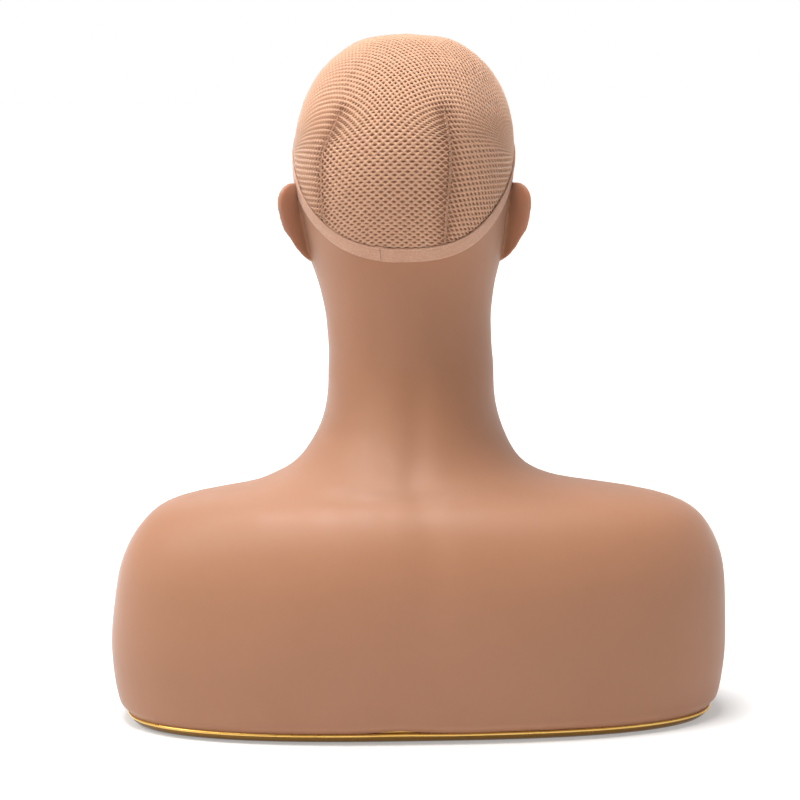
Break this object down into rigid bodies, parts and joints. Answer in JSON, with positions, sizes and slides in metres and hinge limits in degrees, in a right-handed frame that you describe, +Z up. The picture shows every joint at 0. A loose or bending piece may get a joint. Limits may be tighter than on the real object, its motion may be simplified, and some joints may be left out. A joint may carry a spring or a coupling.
{
  "type": "wig display mannequin bust",
  "caption": "Hollow moulded mannequin head, neck and armless shoulders on a flat plate base, with an elastic-edged net cap that pulls off the head.",
  "frame": {"origin": "on the underside of the base, below the centre of the whole object's box", "axes": "+Z up through the crown; the face looks along -Y; +X is the mannequin's left"},
  "size_m": [0.4136, 0.2635, 0.4536],
  "materials": {
    "skin": "soft satin moulded skin-tone vinyl",
    "gold_plastic": "gold lacquered plastic",
    "plywood": "raw plywood",
    "screw_steel": "zinc plated",
    "net_fabric": "knitted mesh of matt beige yarn",
    "elastic": "ribbed pinkish beige elastic"
  },
  "bodies": {
    "bust": {"bust_shell": "skin", "base_plate": "gold_plastic", "inner_board": "plywood", "base_screws": "screw_steel"},
    "wig_cap": {"cap_net": "net_fabric", "cap_dart_left": "net_fabric", "cap_dart_right": "net_fabric", "cap_band": "elastic", "band_join": "elastic"}
  },
  "joints": [
    {"name": "cap_lift", "type": "slide", "parent": "bust", "child": "wig_cap", "axis": [0, 0.5373, 0.8434], "range_m": [0, 0.2]}
  ]
}
